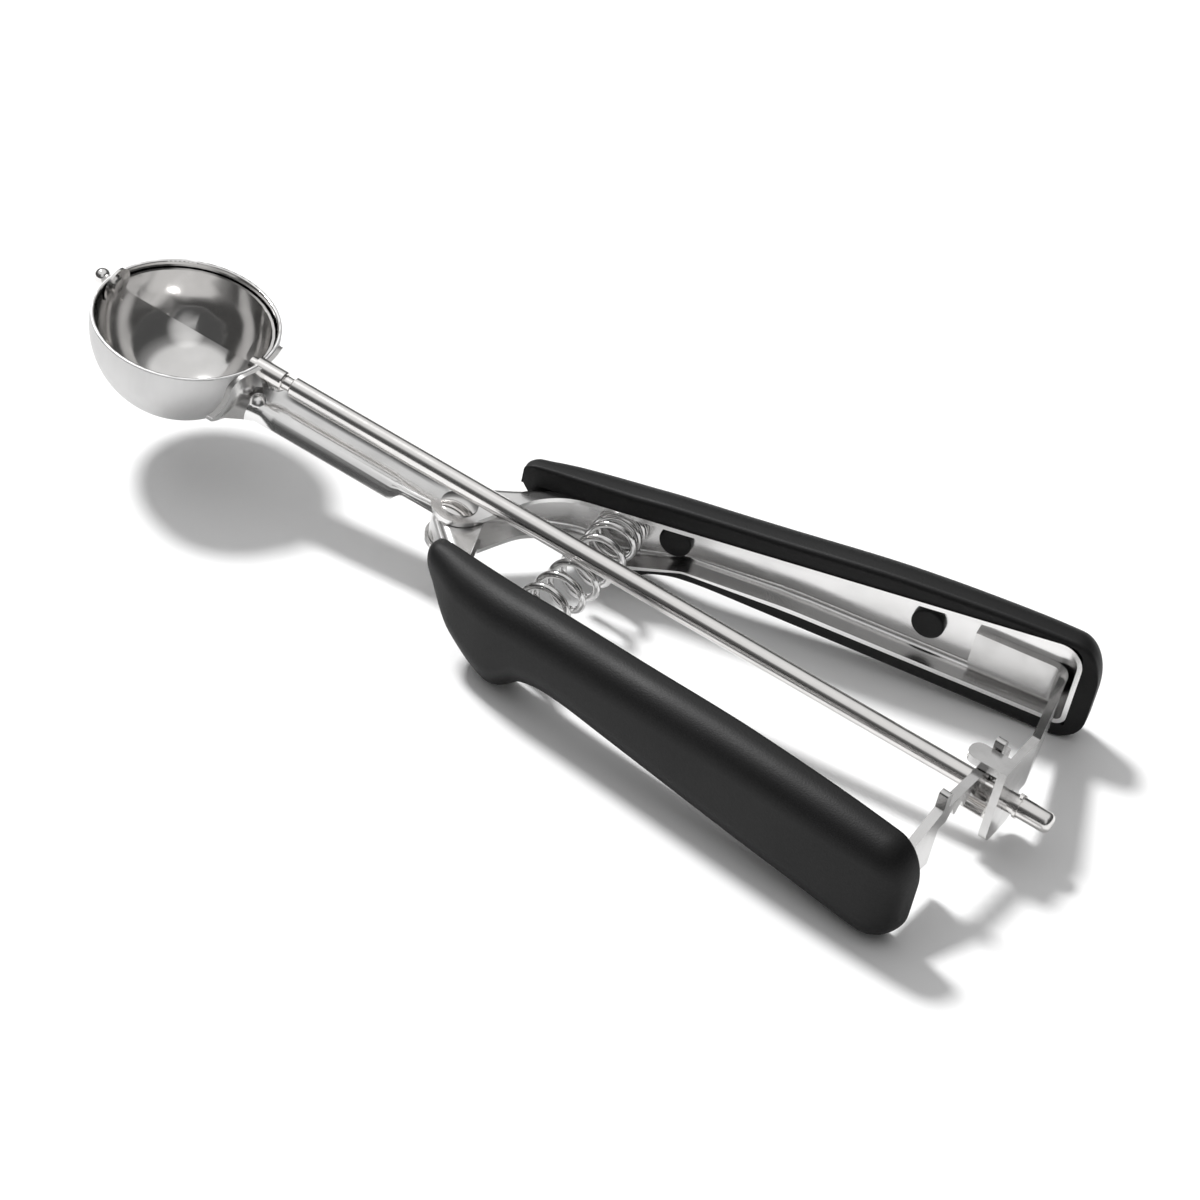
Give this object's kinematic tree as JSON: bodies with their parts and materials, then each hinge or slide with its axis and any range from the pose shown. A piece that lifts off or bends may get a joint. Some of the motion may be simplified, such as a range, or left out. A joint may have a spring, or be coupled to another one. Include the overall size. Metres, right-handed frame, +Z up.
{
  "type": "cookie scoop",
  "caption": "Squeeze-handle cookie scoop: a round steel bowl with a rack-driven scraper blade on a long rod, and two spring-parted handles with black moulded grips.",
  "frame": {"origin": "middle of the scoop's bounding box on the surface that it lies on, handles open", "axes": "+X from the bowl to the rear of the handles, +Y to the fixed handle, +Z up"},
  "size_m": [0.2042, 0.0754, 0.032],
  "materials": {
    "polished_steel": "mirror-polished stainless steel",
    "turned_steel": "fine-turned, polished stainless steel",
    "stamped_steel": "satin stamped stainless steel",
    "spring_wire": "bright drawn spring wire",
    "grip_plastic": "matt black moulded plastic with a fine grain"
  },
  "bodies": {
    "frame": {"bowl": "polished_steel", "fixed_arm": "polished_steel", "rod_bush": "turned_steel", "fixed_grip": "grip_plastic", "guide_bracket": "stamped_steel", "pivot_rivet": "polished_steel", "return_spring": "spring_wire"},
    "lever": {"lever_arm": "polished_steel", "lever_grip": "grip_plastic", "lever_rack": "stamped_steel"},
    "scraper": {"scraper_rod": "turned_steel", "pinion": "turned_steel", "rod_clip": "turned_steel", "scraper_blade": "stamped_steel", "scraper_stud": "polished_steel"}
  },
  "joints": [
    {"name": "lever_squeeze", "type": "hinge", "parent": "frame", "child": "lever", "pos_m": [-0.0198, 0, 0.01646], "axis": [0.0976, 0, 0.9952], "range_deg": [0, 5.9], "stiffness_Nm_per_rad": 1.4, "springref_deg": -17.19, "deforming": ["return_spring"]},
    {"name": "scraper_turn", "type": "hinge", "parent": "frame", "child": "scraper", "pos_m": [-0.08137, 0, 0.02702], "axis": [0.9952, 0, -0.0976], "range_deg": [-150, 0]}
  ],
  "couplings": [
    {"joint": "scraper_turn", "follows": "lever_squeeze", "ratio": -25.427}
  ]
}
